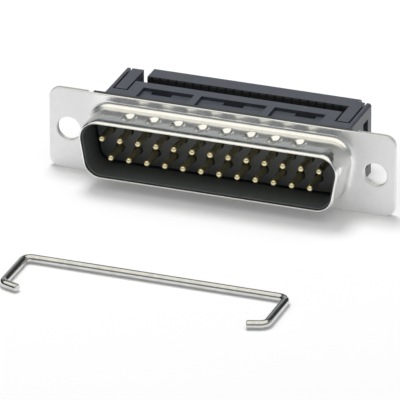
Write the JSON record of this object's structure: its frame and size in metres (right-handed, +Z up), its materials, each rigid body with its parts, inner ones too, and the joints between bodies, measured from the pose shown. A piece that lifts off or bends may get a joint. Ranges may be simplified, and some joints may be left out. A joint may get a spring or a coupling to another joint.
{
  "type": "d-sub connector",
  "caption": "D-shaped pin connector for flat ribbon cable: drawn steel shell with holed flange, black housing with cable forks, sliding cable cover and a loose wire bail.",
  "frame": {"origin": "centre of the flange's front face, midway between the two flange holes", "axes": "-Y is the mating direction (front), +X to the right seen from the front, +Z up, with the wide row of pins up"},
  "size_m": [0.053, 0.0584, 0.0126],
  "materials": {
    "shell_steel": "tinned, satin",
    "contact_gold": "gold plated",
    "insert_plastic": "moulded, matt",
    "housing_plastic": "moulded, satin",
    "bail_steel": "bright drawn wire"
  },
  "bodies": {
    "plug": {"front_shell": "shell_steel", "contact_insert": "insert_plastic", "housing": "housing_plastic", "wire_bail": "bail_steel", "contact_01": "contact_gold", "contact_02": "contact_gold", "contact_03": "contact_gold", "contact_04": "contact_gold", "contact_05": "contact_gold", "contact_06": "contact_gold", "contact_07": "contact_gold", "contact_08": "contact_gold", "contact_09": "contact_gold", "contact_10": "contact_gold", "contact_11": "contact_gold", "contact_12": "contact_gold", "contact_13": "contact_gold", "contact_14": "contact_gold", "contact_15": "contact_gold", "contact_16": "contact_gold", "contact_17": "contact_gold", "contact_18": "contact_gold", "contact_19": "contact_gold", "contact_20": "contact_gold", "contact_21": "contact_gold", "contact_22": "contact_gold", "contact_23": "contact_gold", "contact_24": "contact_gold", "contact_25": "contact_gold"},
    "cover": {"cable_cover": "housing_plastic"}
  },
  "joints": [
    {"name": "cover_slide", "type": "slide", "parent": "plug", "child": "cover", "axis": [0, -1, 0], "range_m": [0, 0.0047]}
  ]
}
